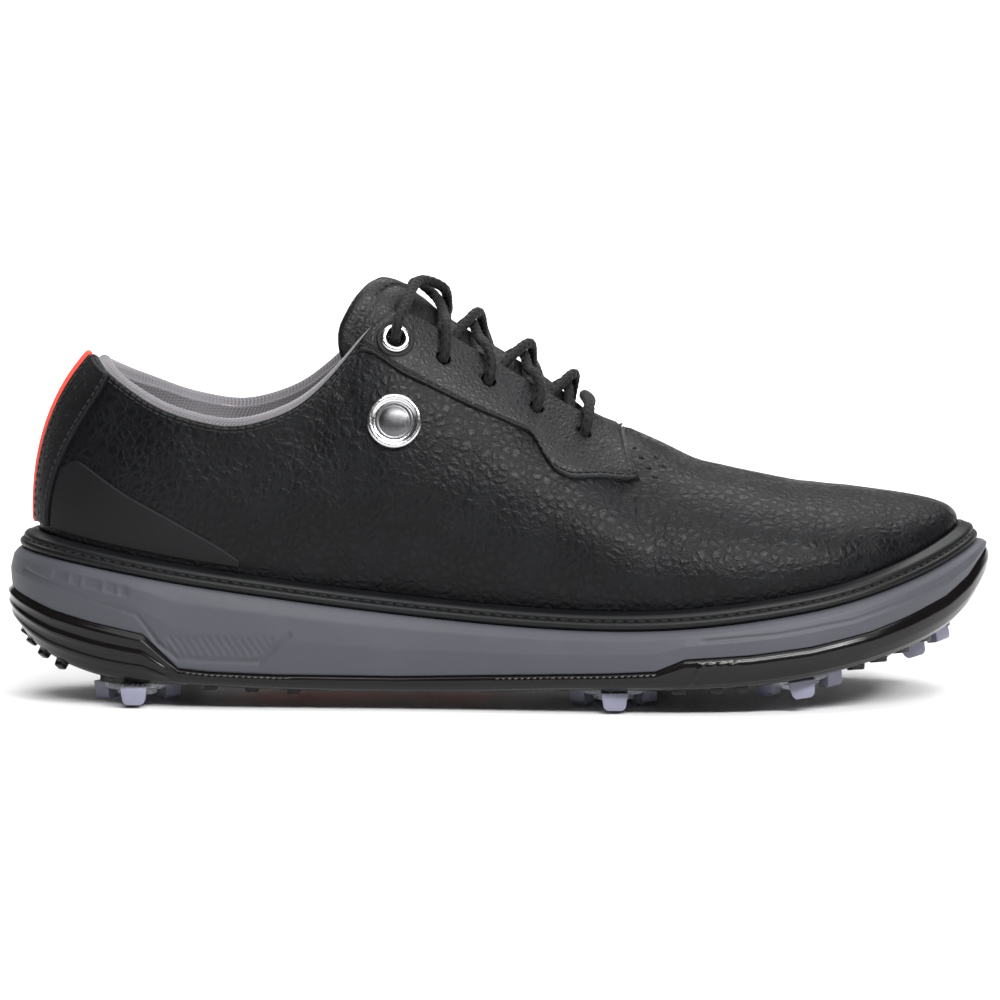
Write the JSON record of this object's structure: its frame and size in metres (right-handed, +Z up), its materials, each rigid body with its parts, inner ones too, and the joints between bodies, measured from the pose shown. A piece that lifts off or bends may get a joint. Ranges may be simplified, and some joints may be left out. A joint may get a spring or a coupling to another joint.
{
  "type": "golf shoe",
  "caption": "Cleated lace-up golf shoe for the right foot: leather upper, padded tongue, foam midsole, moulded outsole and turn-to-lock cleats.",
  "frame": {"origin": "on the ground under the middle of the shoe's box, at the height of the cleats' tips", "axes": "+X towards the toe, +Y towards the inner (medial) side of the right foot, +Z up"},
  "size_m": [0.31, 0.1134, 0.1354],
  "materials": {
    "grain_leather": "tumbled grain, satin",
    "trim_leather": "fine grain, satin",
    "lining_knit": "fine ribbed knit, matte",
    "padding": "soft foam, matte",
    "stiffener": "matte",
    "film": "matte, satin edge",
    "piping": "matte",
    "metal": "polished",
    "lace_textile": "braided, matte",
    "aglet": "glossy",
    "footbed": "brushed, matte",
    "board": "matte fibre board",
    "welt_rubber": "matte, ribbed",
    "midsole_foam": "fine texture, matte",
    "outsole_plastic": "glossy, slightly translucent",
    "shank_plastic": "satin",
    "receptacle_plastic": "satin",
    "cleat_clear": "clear, glossy",
    "cleat_accent": "satin"
  },
  "bodies": {
    "shoe": {"upper_leather": "grain_leather", "lining": "lining_knit", "heel_counter": "stiffener", "toe_puff": "stiffener", "collar_foam": "padding", "backstay_lateral": "trim_leather", "backstay_medial": "trim_leather", "heel_film_lateral": "film", "heel_film_medial": "film", "heel_piping": "piping", "badge": "metal", "eyestay_lateral": "trim_leather", "eyestay_medial": "trim_leather", "eyelet_lateral": "metal", "eyelet_medial": "metal", "lace": "lace_textile", "aglet_lateral": "aglet", "aglet_medial": "aglet", "lasting_board": "board", "sockliner": "footbed", "welt": "welt_rubber", "midsole": "midsole_foam", "outsole": "outsole_plastic", "shank_plate": "shank_plastic", "receptacle_heel_lateral": "receptacle_plastic", "receptacle_heel_medial": "receptacle_plastic", "receptacle_ball_lateral": "receptacle_plastic", "receptacle_ball_medial": "receptacle_plastic", "receptacle_fore_lateral": "receptacle_plastic", "receptacle_fore_medial": "receptacle_plastic", "receptacle_toe": "receptacle_plastic"},
    "tongue": {"tongue_leather": "grain_leather", "tongue_foam": "padding", "tongue_lining": "lining_knit"},
    "cleat_heel_lateral": {"cleat_body_heel_lateral": "cleat_clear", "cleat_star_heel_lateral": "cleat_accent"},
    "cleat_heel_medial": {"cleat_body_heel_medial": "cleat_clear", "cleat_star_heel_medial": "cleat_accent"},
    "cleat_ball_lateral": {"cleat_body_ball_lateral": "cleat_clear", "cleat_star_ball_lateral": "cleat_accent"},
    "cleat_ball_medial": {"cleat_body_ball_medial": "cleat_clear", "cleat_star_ball_medial": "cleat_accent"},
    "cleat_fore_lateral": {"cleat_body_fore_lateral": "cleat_clear", "cleat_star_fore_lateral": "cleat_accent"},
    "cleat_fore_medial": {"cleat_body_fore_medial": "cleat_clear", "cleat_star_fore_medial": "cleat_accent"},
    "cleat_toe": {"cleat_body_toe": "cleat_clear", "cleat_star_toe": "cleat_accent"}
  },
  "joints": [
    {"name": "tongue_fold", "type": "hinge", "parent": "shoe", "child": "tongue", "pos_m": [0.055, 0, 0.071], "axis": [0, -1, 0], "range_deg": [0, 12], "stiffness_Nm_per_rad": 0.4, "springref_deg": -3.44},
    {"name": "cleat_turn_heel_lateral", "type": "hinge", "parent": "shoe", "child": "cleat_heel_lateral", "pos_m": [-0.113, -0.02139, 0.0075], "axis": [0, 0, -1], "range_deg": [0, 60]},
    {"name": "cleat_turn_heel_medial", "type": "hinge", "parent": "shoe", "child": "cleat_heel_medial", "pos_m": [-0.109, 0.01961, 0.0075], "axis": [0, 0, -1], "range_deg": [0, 60]},
    {"name": "cleat_turn_ball_lateral", "type": "hinge", "parent": "shoe", "child": "cleat_ball_lateral", "pos_m": [0.035, -0.03439, 0.0075], "axis": [0, 0, -1], "range_deg": [0, 60]},
    {"name": "cleat_turn_ball_medial", "type": "hinge", "parent": "shoe", "child": "cleat_ball_medial", "pos_m": [0.041, 0.02361, 0.0075], "axis": [0, 0, -1], "range_deg": [0, 60]},
    {"name": "cleat_turn_fore_lateral", "type": "hinge", "parent": "shoe", "child": "cleat_fore_lateral", "pos_m": [0.092, -0.03139, 0.01093], "axis": [0.1508, 0, -0.9886], "range_deg": [0, 60]},
    {"name": "cleat_turn_fore_medial", "type": "hinge", "parent": "shoe", "child": "cleat_fore_medial", "pos_m": [0.096, 0.03361, 0.01157], "axis": [0.1644, 0, -0.9864], "range_deg": [0, 60]},
    {"name": "cleat_turn_toe", "type": "hinge", "parent": "shoe", "child": "cleat_toe", "pos_m": [0.129, 0.00561, 0.01898], "axis": [0.2932, 0, -0.956], "range_deg": [0, 60]}
  ]
}
